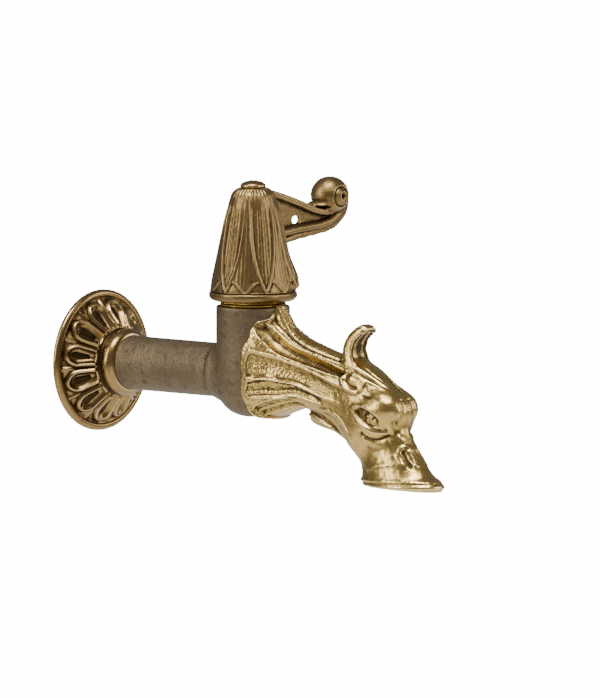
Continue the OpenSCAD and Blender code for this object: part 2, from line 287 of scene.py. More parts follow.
def refined(stations, steps):
    """Catmull-Rom rows through stations."""
    s = np.asarray(stations, float)
    last = len(s) - 1
    rows = []
    for i in range(last):
        a, b, c, d = s[max(i - 1, 0)], s[i], s[i + 1], s[min(i + 2, last)]
        for t in np.arange(steps) / steps:
            rows.append(0.5 * (2 * b + (c - a) * t + (2 * a - 5 * b + 4 * c - d) * t * t
                               + (3 * b - a - 3 * c + d) * t ** 3))
    rows.append(s[last])
    return np.array(rows)


class Sections:
    """A smooth solid through stations [upper x, upper z, lower x, lower z, half width, squareness]."""
    steps = 10

    def __init__(self, stations):
        self.rows = refined(stations, self.steps)
        self.upper, self.lower = self.rows[:, 0:2], self.rows[:, 2:4]
        middle = (self.upper + self.lower) / 2
        self.length = np.concatenate([[0], np.cumsum(np.linalg.norm(np.diff(middle, axis=0), axis=1))])
        self.height = np.linalg.norm(self.upper - self.lower, axis=1) / 2

    def locate(self, x, z):
        """For points of the plane y = 0: the station number, the height across the section from -1 to 1,
        and the distance beyond the two end sections."""
        p = np.stack([x, z], -1)
        n = len(self.rows)
        span = self.lower - self.upper
        unit = span / np.linalg.norm(span, axis=1)[:, None]
        side = np.empty((n, len(x)))
        across = np.empty((n, len(x)))
        for i in range(n):
            q = p - self.upper[i]
            side[i] = q[:, 0] * unit[i, 1] - q[:, 1] * unit[i, 0]
            across[i] = 1 - 2 * (q @ span[i]) / (span[i] @ span[i])
        change = (side[:-1] < 0) != (side[1:] < 0)
        cost = np.where(change, np.abs(across[:-1]), 1e9)
        row = cost.argmin(0)
        found = cost.min(0) < 1e8
        k = np.arange(len(x))
        t = side[row, k] / np.where(side[row, k] == side[row + 1, k], 1, side[row, k] - side[row + 1, k])
        t = np.clip(t, 0, 1)
        to_first, to_last = np.abs(side[0]), np.abs(side[-1])
        place = np.where(found, row + t, np.where(to_first < to_last, 0.0, n - 1.0))
        low = np.minimum(place.astype(int), n - 2)
        t = place - low
        height = across[low, k] * (1 - t) + across[low + 1, k] * t
        flow = np.sign(np.median(side[0] - side[-1]))
        beyond = np.maximum(-flow * side[0], flow * side[-1])
        return place / self.steps, height, beyond

    def at(self, s, values):
        """Values given per row, read at station numbers s."""
        return np.interp(s * self.steps, np.arange(len(values)), values)


class Field:
    """A block of voxels that holds one distance, negative inside."""

    def __init__(self, low, high, step):
        self.low, self.step = np.array(low, float), step
        self.axes = [np.arange(a, b + step, step) for a, b in zip(low, high)]
        self.shape = tuple(len(a) for a in self.axes)
        self.d = np.full(self.shape, 1e3)

    def block(self, low=(-999,) * 3, high=(999,) * 3):
        """Slices of the voxels between two corners, or of all of them."""
        return tuple(slice(*np.searchsorted(a, (l, h))) for a, l, h in zip(self.axes, low, high))

    def coordinates(self, block):
        """x, y and z of a block's voxels, ready to broadcast."""
        return np.meshgrid(*(a[b] for a, b in zip(self.axes, block)), indexing="ij", sparse=True)

    def loft(self, sections, block):
        """Distance to a lofted solid in a block, with its station numbers and angles."""
        x, y, z = self.coordinates(block)
        flat_x, flat_z = np.broadcast_arrays(x[:, 0], z[:, 0])
        located = sections.locate(flat_x.ravel(), flat_z.ravel())
        s, c, beyond = (v.reshape(flat_x.shape)[:, None] for v in located)
        width, power = (sections.at(s, sections.rows[:, k]) for k in (4, 5))
        up, side = np.abs(c) ** power, (np.abs(y) / width) ** power
        rho = (up + side) ** (1 / power)
        slope = np.sqrt(sum(g ** 2 for g in np.gradient(rho, self.step)))
        d = np.maximum((rho - 1) / np.maximum(slope, 0.02), beyond)
        angle = np.arctan2(np.sqrt(side), np.sign(c) * np.sqrt(up)) / DEG
        return d, np.broadcast_to(s, d.shape), angle

    def surface(self):
        """Points and faces of the zero level, mirrored across y = 0, the first plane of voxels."""
        whole = np.concatenate([self.d[:, :0:-1], self.d], 1)
        points, faces = surface_net(whole, np.array([self.low[0], -self.axes[1][-1], self.low[2]]), self.step)
        return relaxed(points, faces, 2), faces


# ---- spout

# [upper x, upper z, lower x, lower z, half width, squareness], x from the barrel axis, as in the CAD
spout_stations = [
    [0, 27, 0, -19.2, 16, 3.0], [10, 27, 9.5, -19.7, 16, 3.0], [22, 21.5, 17.5, -18.3, 14.6, 2.3],
    [29.5, 17.6, 24, -16, 13.4, 2.3], [39, 14.6, 31, -13.8, 12, 2.3], [49, 12, 37, -14.5, 11, 2.3],
    [59, 9.8, 45, -17.5, 10.5, 2.3], [68, 8.3, 52, -21.5, 10.6, 2.3], [77, 2, 57, -25.5, 11.3, 2.4],
    [86, -4, 60, -29, 11.8, 2.4], [90.5, -11, 63, -32.5, 10.5, 2.3], [89.5, -19.5, 65, -35.5, 8.5, 2.2],
    [95, -29, 65.8, -39, 9, 2.1], [102.8, -38.4, 65.5, -41.5, 10.5, 2], [108.8, -42.2, 64.5, -42.6, 11.5, 2],
    [108.2, -46, 66.5, -44, 10.7, 2]]
crest_stations = [
    [53, 6, 72, 3, 7, 2.4], [54.8, 10.5, 66.5, 8.5, 6.2, 2.8], [55.6, 15, 63.8, 13.6, 5.6, 3.2],
    [57.2, 19, 64.6, 17, 5.3, 3.2], [60.6, 23, 67, 19.6, 5, 3], [65.5, 25.8, 69.4, 20.9, 4.4, 2.6],
    [69, 24.6, 70.2, 21.6, 3.2, 2]]
beard_stations = [
    [37, -11.5, 36.2, -18.8, 4.4, 2], [40.5, -11.5, 39, -20.6, 5.4, 2], [46, -14, 45.5, -22, 6.2, 2],
    [52.5, -18.5, 51.5, -23, 6, 2], [59, -25, 57.5, -26.5, 4, 2]]
mouth_stations = [
    [79, -22, 69, -26, 4.6, 2], [83, -31, 71.5, -33, 5.2, 2], [92, -38, 70.5, -38.5, 6.6, 2],
    [102.6, -43.6, 68.6, -42.5, 8.8, 2], [105.6, -46, 68.2, -44.4, 9.1, 2], [106.4, -48.5, 68, -48, 9.3, 2]]

# Flutes of the shell: centre angle and half width by station, station of the round end, stations between
# which it fades out, depth, lean of the hollow to one side, and where a rib runs in it, if one does
flutes = [
    ([(1.3, 8), (2.2, 15), (3, 20), (4, 25.5), (5, 26.5), (6.5, 26)],
     [(1.3, 1.5), (3, 1.5), (4, 1.3), (5, 1.2), (6.5, 1.0)], 1.6, (5.6, 6.6), 0.8, 0, None),
    ([(1, 39), (1.6, 41), (2.2, 44.5), (3.2, 47.5), (4.2, 50.5), (5.2, 52.5), (6.4, 54)],
     [(1.2, 5.0), (2.2, 4.4), (3.2, 3.6), (4.2, 3.1), (5.3, 2.5), (6.4, 1.8)],
     1.3, (6.0, 6.9), 3.2, -0.3, None),
    ([(0.9, 89), (1.4, 85), (2.3, 79.5), (3.6, 82.5), (5, 86.5), (6.2, 88), (7.6, 86)],
     [(1.0, 3.1), (2.3, 3.7), (3.6, 3.3), (5, 2.9), (6.5, 2.6), (7.6, 2.4)],
     1.08, (5.0, 7.6), 1.6, -0.2, None),
    ([(1, 104), (2.3, 107.5), (3.7, 108), (5, 111), (6, 110)],
     [(1.0, 3.3), (2.5, 3.5), (3.7, 2.7), (5, 1.9), (6, 1.2)], 1.08, (5.2, 6.2), 1.7, 0.1, 0.5),
    ([(1, 141), (2.15, 138), (3.3, 137), (4.2, 142), (5, 150)],
     [(1.0, 3.8), (2.2, 3.9), (3.3, 3.2), (4.3, 2.4), (5, 1.6)], 1.25, (4.2, 5.2), 1.5, 0, 0.15)]

# Outline of the shell on the barrel, as [angle from +x, height], from the top down one side
fringe = [
    (0, 30.6), (8, 30.6), (12, 29.2), (17, 27.4), (22, 25.8), (28, 25.2), (35, 25.1), (42, 24.4), (47, 23.1),
    (51.5, 21.2), (54.5, 19.4), (55.8, 17.7), (58, 16.2), (63, 14.9), (67, 12), (68.8, 8), (68.6, 4),
    (66, 0.8), (68, -1.6), (68.4, -4.4), (67, -8), (63.6, -10.8), (59.5, -12.2), (58, -14.2), (53, -16.6),
    (44, -18.4), (30, -19.2), (0, -19.6)]
root_top, root_run = np.array([15.4, 0, 30]), np.array([5.1, 0, -9.5])  # the shell's root, down its middle

# Chased lines of the head as (points, radius, height), mirrored left and right. + stands up, - is cut in.
chased_lines = [
    ([(67.3, 11.2, -10.2), (71.6, 11.5, -9.2), (76.2, 11.4, -9.5), (80.8, 10.8, -11.2), (83.8, 9.8, -13.9),
      (85.8, 8.2, -17), (86.4, 6.4, -20.3)], 0.9, 1.0),
    ([(67.3, 11.2, -10.2), (70.1, 11.6, -13.6), (73.6, 11.6, -17.2), (77.1, 10.8, -20), (81.2, 9.4, -21),
      (86.4, 6.4, -20.6)], 0.75, 0.8),
    ([(73, 10.4, -5), (76.5, 9.9, -5.2), (80.9, 9.2, -6.8), (85.7, 7.3, -8.3), (88.6, 5.3, -10)], 0.7, -0.7),
    ([(72.4, 11.4, -20.7), (75.4, 10.4, -22.9), (79.4, 8.9, -23.9), (83.4, 7.6, -22.8), (86, 6.5, -21.3)],
     0.8, -0.55),
    ([(73, 11, -23.4), (77, 9.8, -25.6), (81.5, 8.2, -26), (85, 6.6, -24.6)], 1.7, 0.4),
    ([(63.6, 5.7, 7.6), (66.9, 6.1, 6.3), (70, 5.8, 5), (72.9, 5.3, 3.4), (76.8, 4.4, 1.3), (80.9, 3.6, -0.8),
      (85.4, 3.0, -4.2), (88.7, 2.0, -7.3), (90.2, 1, -10.4)], 0.8, 0.9),
    ([(64.4, 6.9, 6.2), (67.6, 7.2, 5), (72, 6.8, 2.6), (77, 5.6, 0), (82, 4.8, -3), (86.4, 3.9, -6.2),
      (88.4, 3, -8.6)], 0.6, -0.8),
    ([(64.8, 7.9, 4.8), (68, 7.9, 3.6), (72.7, 7.2, 1.6), (77.3, 6, 0), (82.7, 5.4, -2.8), (86.4, 4.6, -5.5),
      (88.5, 3.8, -7.9)], 0.65, 0.7),
    ([(65.5, 4, 7.6), (72, 4, 4.2), (79, 2.6, 0.4), (86, 1.2, -3.6)], 0.55, -0.5),
    ([(62.1, 7.7, 5.6), (60.4, 8.7, 4), (59.9, 9.8, 1.1), (62.2, 10.2, -1.4), (66.3, 10.4, -3.3),
      (70.5, 10, -3.4)], 0.85, 1.1),
    ([(63.6, 8.4, 4.2), (62.4, 8.9, 2.6), (62.6, 9.4, 0.8), (65, 9.6, -0.8), (68.6, 9.4, -1.6)], 0.6, -0.9),
    ([(64.6, 9, 2.8), (68.7, 8.6, 1.7), (72.8, 8, 0.3)], 1.5, 0.8),
    ([(88, 2.2, -6), (90, 2.4, -9.6), (89.8, 4.2, -13.6), (87.9, 5.8, -16.9)], 1.5, -0.6),
    ([(90.6, 6, -29.4), (90.4, 5.5, -27.4), (91.8, 3.8, -26.4), (93.2, 2.2, -26.8), (94.4, 1.4, -28.4)],
     0.75, 0.8),
    ([(91.6, 5.3, -28.4), (92.6, 5.2, -29.8), (93.9, 5.2, -31.8), (95.4, 5.1, -33.6), (96.8, 5, -35.4)],
     0.8, -1.9),
    ([(93.6, 2.8, -27.8), (95.3, 2.8, -30), (96.8, 3, -32.4), (98.3, 3.6, -35.2)], 1.1, 0.9),
    ([(89.6, 6.8, -30), (91.5, 6.8, -32.4), (94, 6.8, -34.8)], 0.7, 0.5),
    ([(73.6, 8.6, -37.2), (80.9, 9.4, -35.2), (88.2, 8.6, -34.2), (93.7, 6.8, -34.6)], 1.2, 0.45),
    ([(46.5, 8.5, -12.5), (51.7, 9.2, -12.8), (56.7, 9.7, -14.4), (61.1, 10.3, -17.5), (63.9, 10.5, -21.2),
      (67.2, 9.8, -26)], 0.8, 0.8),
    ([(48, 8.4, -14.4), (52, 9, -15), (56, 9.4, -16.9), (59.6, 9.8, -20), (62, 9.8, -24)], 0.7, -0.9),
    ([(69.3, 11.6, -12), (72, 11.8, -14.8), (75, 11.4, -17.3), (79, 10.6, -19), (83, 9.2, -19.4)],
     0.45, -0.5),
]
# Rounded knobs as (centre, radius, height)
knobs = [((89.4, 4.2, -22.8), 1.5, 0.9), ((90.8, 3.4, -25), 1.0, 0.5), ((86.4, 6.8, -24.2), 1.0, 0.4)]
brow_centre, brow_radii = (81.4, 5.3, -10.1), (8, 6.1, 5.9)
socket_centre, socket_radii, socket_slope = (77.4, 12, -14.9), (8, 2.3, 3.9), -0.42
eye_centre = np.array([78.3, 6.5, -14.6])
eye_r = 4.9
eye_look = np.array([0.27, 0.96, 0.05]) / np.linalg.norm([0.27, 0.96, 0.05])
iris_r = 1.9


def curve(v, pairs):
    """Catmull-Rom reading of (at, value) pairs."""
    at, values = (np.array(c, float) for c in zip(*pairs))
    i = np.clip(np.searchsorted(at, v) - 1, 0, len(at) - 2)
    slope = np.gradient(values, at)
    h = at[i + 1] - at[i]
    t = np.clip((v - at[i]) / h, 0, 1)
    return ((2 * t ** 3 - 3 * t ** 2 + 1) * values[i] + (t ** 3 - 2 * t ** 2 + t) * h * slope[i]
            + (3 * t ** 2 - 2 * t ** 3) * values[i + 1] + (t ** 3 - t ** 2) * h * slope[i + 1])


def fringe_distance(p):
    """Distance outside the shell's outline, for points near the barrel's surface with y >= 0."""
    arc = DEG * (barrel_r + 1)
    line = rounded([(a * arc, z) for a, z in fringe], 1)
    across = np.arctan2(p[:, 1], p[:, 0]) * (barrel_r + 1)
    d, _ = curve_distance(np.stack([across, p[:, 2]], 1), line)
    return np.where(inside_polygon(across, p[:, 2], [tuple(q) for q in line]), -d, d)


def flute_relief(sections, s, angle):
    """Height of the shell's flutes, distance outside the nearest one, and grain in their hollows."""
    along = sections.at(s, sections.length)
    radius = (sections.at(s, sections.height) + sections.at(s, sections.rows[:, 4])) / 2
    height = np.zeros_like(s)
    grain = np.zeros_like(s)
    nearest = np.full_like(s, 1e3)
    for centres, widths, end, fade, depth, lean, rib in flutes:
        centre, width = curve(s, centres), curve(s, widths)
        before = np.minimum(along - sections.at(np.array(end), sections.length) - width * 0.55, 0)
        side = (angle - centre) * DEG * radius
        out = np.hypot(side, before) - width
        left = 1 - smooth(*fade, s)
        off = side / width - lean
        deep = np.hypot(off / (1 - lean * np.sign(off)), before / width)
        hollow = np.clip(1 - deep ** 2, 0, 1) ** 0.75
        floor_depth = depth * (0.5 + 0.5 * smooth(1.1, 2.1, s))
        height += left * (0.3 * bump(out, 0.15, 0.4) - floor_depth * hollow * (out < 0)
                          - 0.28 * bump(out, 1.0, 0.26) - 0.16 * bump(out, -0.9, 0.22))
        if rib is not None:
            height += left * (out < -0.3) * 0.5 * bump(side / width, rib, 0.16)
        grain = np.maximum(grain, left * smooth(0.5, 1.2, -out) * smooth(3.4, 2.2, depth))
        nearest = np.minimum(nearest, out)
    return height, nearest, grain


def head_relief(p):
    """Height of the chased lines and knobs at points with y >= 0, x from the barrel axis."""
    height = np.zeros(len(p))
    for points, radius, rise in chased_lines:
        corners = np.array(points)
        reach = 3 * radius
        near = ((p > corners.min(0) - reach) & (p < corners.max(0) + reach)).all(1)
        if near.any():
            q, along = curve_distance(p[near], rounded(corners))
            ends = smooth(-0.02, 0.12, along) * (1 - smooth(0.88, 1.02, along))
            height[near] += rise * (0.25 + 0.75 * ends) * np.exp(-(q / radius) ** 2)
    for centre, radius, rise in knobs:
        height += rise * np.exp(-(((p - centre) / radius) ** 2).sum(1))
    return height


def shape_neck(field, body):
    """The lofted body with its fluted shell, the shell's edge on the barrel, and its root at the top."""
    block = field.block()
    d, s, angle = field.loft(body, block)
    x, y, z = (np.broadcast_to(v, d.shape) for v in field.coordinates(block))
    # the relief is only worked out near the surface, and further off round the root
    near = (np.abs(d) < 3.2) | ((x < 24) & (z > 16) & (y < 8) & (d < 9))
    p = np.stack([x[near], y[near], z[near]], 1)
    s, angle = s[near], angle[near]
    height = flute_relief(body, s, angle)[0]
    top = bump(angle, 0, 9) * smooth(1.2, 2, s) * (1 - smooth(6, 7, s))
    lip_low = 46 - 0.02 * (p[:, 0] - 66)
    lip = 0.55 * bump(p[:, 2], -lip_low + 1.1, 0.9) - 0.45 * bump(p[:, 2], -lip_low + 2.9, 0.6)
    height += 0.7 * top + lip * smooth(12.8, 13.6, s) + 0.09 * lumpy(p, 2.8, 11)
    # shell edge lying on the barrel
    r = np.hypot(p[:, 0], p[:, 1])
    outline = fringe_distance(p)
    flange = smooth_max(r - barrel_r - 0.6 - 0.1 * lumpy(p, 1.2, 5), outline, 0.5)
    trimmed = smooth_max(d[near] - height, np.where(r < barrel_r + 3, outline + 0.2, -9), 0.8)
    # the root of the shell, a rod with two ridges that runs up to the top of the barrel
    t = np.clip((p - root_top) @ root_run / 116.3, 0, 1)
    root = np.linalg.norm(p - root_top - t[:, None] * root_run, axis=1) - 3.3 - 0.8 * t
    root += 0.5 * bump(np.abs(p[:, 1]), 1.5, 0.8) + 0.12 * lumpy(p, 1.1, 8)
    root = smooth_max(root, p[:, 2] - 30.7, 0.4)
    d[near] = smooth_min(smooth_min(trimmed, flange, 0.6), root, 1.2)
    field.d = d


def shape_head(field):
    """Brow, chased lines, eye socket and eyeball."""
    head = field.block([44, 0, -41], [101, 17, 11])
    xyz = field.coordinates(head)
    brow = (ellipsoid(xyz, brow_centre, brow_radii) - 1) * brow_radii[2]
    part = smooth_min(field.d[head], brow, 5.0)
    near = np.abs(part) < 3
    part[near] -= head_relief(np.stack([np.broadcast_to(v, part.shape)[near] for v in xyz], 1))
    off = np.stack(np.broadcast_arrays(*(v - c for v, c in zip(xyz, eye_centre))), -1)
    facing = off @ eye_look
    aside = np.linalg.norm(off - facing[..., None] * eye_look, axis=-1)
    socket = (ellipsoid(xyz, socket_centre, socket_radii, socket_slope) - 1) * 2.4
    part = smooth_max(part, -socket, 0.5)
    rings = 0.5 * bump(aside, iris_r, 0.35) + 0.9 * bump(aside, 0, 0.75) + 0.35 * bump(aside, 3.1, 0.3)
    ball = np.linalg.norm(off, axis=-1) - eye_r + (facing > 0) * rings
    field.d[head] = smooth_min(part, ball, 0.25)


def shape_crest(field):
    """Crest with its hollow front."""
    crest = field.block([46, 0, 0], [76, 9, 28])
    y = field.coordinates(crest)[1]
    leaf, s, angle = field.loft(Sections(crest_stations), crest)
    width = np.interp(s, range(len(crest_stations)), [row[4] for row in crest_stations])
    inner = np.clip(1 - (y / (0.93 * width)) ** 4, 0, 1)
    leaf = leaf + 2.3 * inner * smooth(0.0, 0.35, -np.cos(angle * DEG)) * smooth(0.5, 1.4, s)
    leaf = leaf + 0.4 * bump(angle, 66, 7) * (s > 0.6)
    field.d[crest] = smooth_min(field.d[crest], leaf, 1.4)


def shape_beard(field):
    """Leaf under the throat, ribbed along its length."""
    beard = field.block([30, 0, -31], [66, 9, -4])
    leaf, _, angle = field.loft(Sections(beard_stations), beard)
    field.d[beard] = smooth_min(field.d[beard], leaf + 0.3 * np.cos(angle * DEG * 9), 0.9)


def cut_mouth(field):
    """Mouth and passage, and the barrel's round seat."""
    mouth = field.block([60, 0, -50], [116, 14, -18])
    hollow = field.loft(Sections(mouth_stations), mouth)[0]
    field.d[mouth] = smooth_max(field.d[mouth], -hollow, 0.8)
    x, y, _ = field.coordinates(field.block())
    field.d = np.maximum(field.d, barrel_r + 0.02 - np.hypot(x, y))


def make_spout(step):
    """The spout: shell, neck, head, crest, beard and mouth, in one mesh."""
    field = Field([4, 0, -47.5], [spout_end - barrel_x + 1, 17, 31.4], step)
    body = Sections(spout_stations)
    shape_neck(field, body)
    shape_head(field)
    shape_crest(field)
    shape_beard(field)
    cut_mouth(field)
    points, faces = field.surface()
    s, c, _ = body.locate(points[:, 0], points[:, 2])
    width, power = (body.at(s, body.rows[:, k]) for k in (4, 5))
    angle = np.arctan2((np.abs(points[:, 1]) / width) ** (power / 2),
                       np.sign(c) * np.abs(c) ** (power / 2)) / DEG
    _, nearest, grain = flute_relief(body, s, angle)
    edge_grain = 0.6 * smooth(0.4, 1.2, nearest) * (1 - smooth(1.3, 2.0, s))
    # The crest's hollow front: grainy, and darkened below as painted shade.
    crest_grain_and_shade = bump(points[:, 0], 64, 6) * bump(points[:, 1], 0, 4) * smooth(10, 14, points[:, 2])
    attributes = {
        "wear_and_shade": wear_and_shade(points, faces, 14, 3.2) - 0.6 * crest_grain_and_shade,
        "grain": np.maximum.reduce([grain, 0.9 * edge_grain, crest_grain_and_shade]),
    }
    points[:, 0] += barrel_x
    return mesh_object("spout_sculpted", points, faces, attributes)


# ---- lever handle

# Outline of the bell above its rim, as [radius, height]
bell_side = [
    (19.3, 36.8), (18.9, 39), (18.2, 42.6), (17.3, 46.8), (16.4, 51.5), (15.5, 56.3), (14.5, 61.5),
    (13.5, 66.8), (12.3, 71.5), (11.3, 75.2), (10.6, 77.5), (9.6, 80.1), (7.6, 81.9)]
# Middle lines of the rails and of the leaf below, as [reach, height]
upper_rail = [(9, 79.3), (14.7, 77.9), (21.4, 75.8), (28.2, 73.6), (34.9, 71.1), (41.6, 69), (47.2, 68.2),
              (50, 68.4)]
lower_rail = [(10, 59.5), (15, 60.6), (20.3, 61.3), (28.2, 62), (37.1, 62.4), (43.8, 62.8), (49.5, 64),
              (54, 66.2), (57.4, 69.5), (58.8, 73), (58.6, 77)]
leaf_line = [(9, 55.6), (15, 56.6), (22, 58), (28.7, 58.9), (37.7, 59.8), (46.7, 60.8), (51.1, 61.9),
             (56.2, 64.8), (59.4, 68.4), (60.2, 72.5), (59.6, 76)]
web_half, upper_half, lower_half, leaf_half = 0.85, 3.5, 3.9, 3.2  # half of their thicknesses
web_hole = (28, 66)
web_hole_r = 1.65
roll_x, roll_z = 51.8, 75.4
roll_r, roll_half = 8.3, 8.1


def lancet_half(z):
    """Half width of a lancet leaf at a height, in degrees round the bell."""
    return np.interp(z, [36.8, 39, 45, 53, 60, 68, 76], [0.3, 5, 12.5, 19, 22.5, 25, 27])


def bell_relief(angle, r, z):
    """Leaves on the bell: six lancets with pointed feet, six shorter ones between them, ribs at the top."""
    turn = angle / DEG
    off = (turn % 60) - 30
    half = lancet_half(z)
    slope = r * DEG * np.interp(z, [36.8, 42, 49, 57, 64, 72], [2.2, 1.2, 0.8, 0.45, 0.3, 0.25])
    out = (np.abs(off) - half) * DEG * r / np.sqrt(1 + slope ** 2)
    top = smooth(70, 77, z)
    relief = 0.36 * bump(out, -0.5, 0.42) * (1 - 0.8 * top) - 0.4 * smooth(0.9, 1.5, -out) * (1 - top)
    # inside the lancets: a middle rib, two finer ones and a faint row of veins
    across = off * DEG * r
    veins = 0.22 * bump(np.abs(across), 0, 0.5) + 0.26 * bump(np.abs(off), 12.5, 2.2)
    inside = smooth(1.6, 2.6, -out) * (1 - top)
    relief += inside * (veins * smooth(40, 46, z) + 0.07 * np.cos(turn * DEG * 72))
    # shorter leaves between
    off2 = 30 - np.abs(off)
    half2 = np.interp(z, [36.7, 37.5, 39, 41, 43], [0.2, 5, 10, 15, 34])
    out2 = (off2 - half2) * DEG * r * 0.5
    leaf2 = smooth(0.0, 0.5, out)
    relief += leaf2 * (0.22 * bump(out2, -0.3, 0.35) - 0.35 * smooth(-0.1, 0.3, out2))
    relief += leaf2 * smooth(38, 42, z) * (0.06 * np.cos(turn * DEG * 60) - 0.2)
    # grooves round the shoulder
    relief += 0.14 * smooth(77.5, 79.5, z) * np.cos(turn * DEG * 36) * (1 - smooth(81.5, 82, z))
    # the foot of one leaf is turned out further than the rest
    relief += 1.9 * bump(turn % 360, 36, 15) * smooth(36.9, 38.5, z) * (1 - smooth(42, 55, z))
    return np.where(z > 36.9, relief - 0.3, 0)


def make_bell():
    """The bell of the handle: rim, leaf-covered side, flat crown, and its hollow inside."""
    rim = np.array([(-2.4, 0), (-1.2, 0.35), (-0.1, 1.6), (0, 2.2), (0, 3.4), (-0.3, 3.9), (-1.1, 4.1),
                    (-1.2, 4.4)]) + (bell_r, bell_low)
    crown = [(7.2, 82.2), (6.2, 82.5), (0.01, 82.5)]
    inner = [(0.01, 62), (11.6, 62), (13.3, 56.3), (15.3, 47), (16.2, 41), (bell_r - 3.5, bell_low)]
    profile = np.concatenate([spread_profile(inner, 14), spread_profile(rounded(rim), 26),
                              spread_profile(rounded(bell_side), 175), spread_profile(crown, 8)])
    points, faces = turned(profile, 420, bell_relief)
    r = np.hypot(points[:, 0], points[:, 1])
    turn = np.arctan2(points[:, 1], points[:, 0]) / DEG
    off = (turn % 60) - 30
    inside = smooth(0.8, 1.6, (lancet_half(points[:, 2]) - np.abs(off)) * DEG * r * 0.8)
    attributes = {
        "wear_and_shade": wear_and_shade(points, faces, 12, 3.6),
        "grain": inside * smooth(37, 40, points[:, 2]) * (1 - smooth(68, 76, points[:, 2])),
    }
    points[:, 0] += barrel_x
    return mesh_object("bell_sculpted", points, faces, attributes)


def flat_distance(u, z, line):
    """Distance in a plane to a polyline."""
    return curve_distance(np.stack([u.ravel(), z.ravel()], 1), line)[0].reshape(u.shape)


def inside_polygon(u, z, polygon):
    """Even-odd test in a plane."""
    inside = np.zeros(u.shape, bool)
    for (a, b), (c, d) in zip(polygon, polygon[1:] + polygon[:1]):
        if b == d:
            continue
        inside ^= (z > min(b, d)) & (z <= max(b, d)) & (u < a + (z - b) * (c - a) / (d - b))
    return inside


def slab(flat, across, half, edge):
    """A plane figure given by its distance, made 2 x half thick with rounded edges."""
    a, b = flat + edge, np.abs(across) - half + edge
    return np.minimum(np.maximum(a, b), 0) + np.hypot(np.maximum(a, 0), np.maximum(b, 0)) - edge


def make_lever(step):
    """The lever as a field: u runs along the lever, v across it, z up."""
    field = Field([7, 0, 51], [62.5, 9, 86], step)
    u, v, z = field.coordinates(field.block())
    fu, fz = np.broadcast_arrays(u[:, 0], z[:, 0])
    upper, lower, leaf = (flat_distance(fu, fz, rounded(line))[:, None]
                          for line in (upper_rail, lower_rail, leaf_line))
    in_web = inside_polygon(fu, fz, upper_rail + [(52, 75)] + lower_rail[::-1])[:, None]
    to_edge = np.minimum(upper, lower)
    d = slab(np.where(in_web, -to_edge, to_edge), v, web_half, 0.4)
    rail = slab(upper - 1.5, v, upper_half, 1.2) + 0.25 * bump(v, 0, 0.6) * (upper < 3)
    d = smooth_min(d, rail, 1.0)
    d = smooth_min(d, slab(lower - 1.75, v, lower_half, 1.7), 1.0)
    # ribbed leaf under the lower rail
    ribs = 0.16 * np.cos(v * 3.4) + 0.1 * np.cos(fu[:, None] * 0.9)
    d = smooth_min(d, slab(leaf - 1.3, v, leaf_half, 1.0) + ribs, 0.6)
    # roll: a barrel-shaped curl with a spiral line and an eye on each cheek
    ru, rz = u - roll_x, z - roll_z
    r = np.hypot(ru, rz)
    ball = ((r / roll_r) ** 2.2 + (np.abs(v) / roll_half) ** 2.2) ** (1 / 2.2)
    roll = (ball - 1) * roll_r
    turn = np.arctan2(rz, ru)
    cheek = smooth(2.8, 5, np.abs(v))
    spiral = 3.2 + 1.6 * ((turn + 0.9) % (2 * math.pi)) / (2 * math.pi)
    roll = roll + cheek * (0.7 * bump(r, spiral, 0.5) - 0.2 * bump(r, spiral + 1.0, 0.5))
    roll = roll + 1.7 * cheek * bump(r, 0, 0.8) - cheek * 0.5 * bump(r, 1.9, 0.55)
    d = smooth_min(d, roll, 0.8)
    # the curl's free lip over the rail, with a slot under it
    lip = ellipsoid((u, v, z), (43.6, 0, 72.2), (3.4, 5.2, 1.3), 0.18)
    d = smooth_min(d, (lip - 1) * 1.3, 0.5)
    slot = flat_distance(fu, fz, [(39, 71.2), (43, 70.6), (46.5, 70.6)])[:, None]
    d = smooth_max(d, 0.35 - slot, 0.5)
    hole = np.hypot(np.maximum(np.abs(u - web_hole[0]) - 0.8, 0), z - web_hole[1]) - web_hole_r
    field.d = smooth_max(d, -hole, 0.4)
    points, faces = field.surface()
    attributes = {"wear_and_shade": wear_and_shade(points, faces, 12, 3.6), "grain": (np.abs(points[:, 1]) < 2.4) * 1.0}
    points = np.stack([barrel_x - points[:, 1], points[:, 0], points[:, 2]], 1)
    return mesh_object("lever_sculpted", points, faces, attributes)


def make_screw():
    """Domed screw head with a hexagon socket."""
    top, r = screw_high[2], (screw_high[1] - screw_low[1]) / 2
    low = top - 3.1
    arc = [(r * math.cos(a * DEG), low + 0.7 + 2.4 * math.sin(a * DEG)) for a in range(0, 78, 6)]
    profile = ([(0.01, screw_low[2]), (2.3, screw_low[2]), (2.4, low), (r - 0.4, low), (r, low + 0.35)] + arc
               + [(2.0, top), (1.8, top - 0.1), (1.8, top - 2.0), (0.01, top - 2.2)])
    rows = spread_profile(profile, 120)

    def socket(angle, radius, height):
        six = 1.73 / np.cos((angle % (math.pi / 3)) - math.pi / 6)
        return np.where((radius < 1.85) & (height > top - 2.05) & (radius > 1.7), radius - six, 0)

    points, faces = turned(rows, 96, socket)
    wear_and_shade_level = wear_and_shade(points, faces, 8, 4)
    points[:, 0] += barrel_x
    return mesh_object("screw_turned", points, faces, {"wear_and_shade": wear_and_shade_level})


# ---- wall rosette

petal_end = 22.1  # radius where a petal's round end begins
petal_spread = 0.238  # half width of a petal for each millimetre of radius


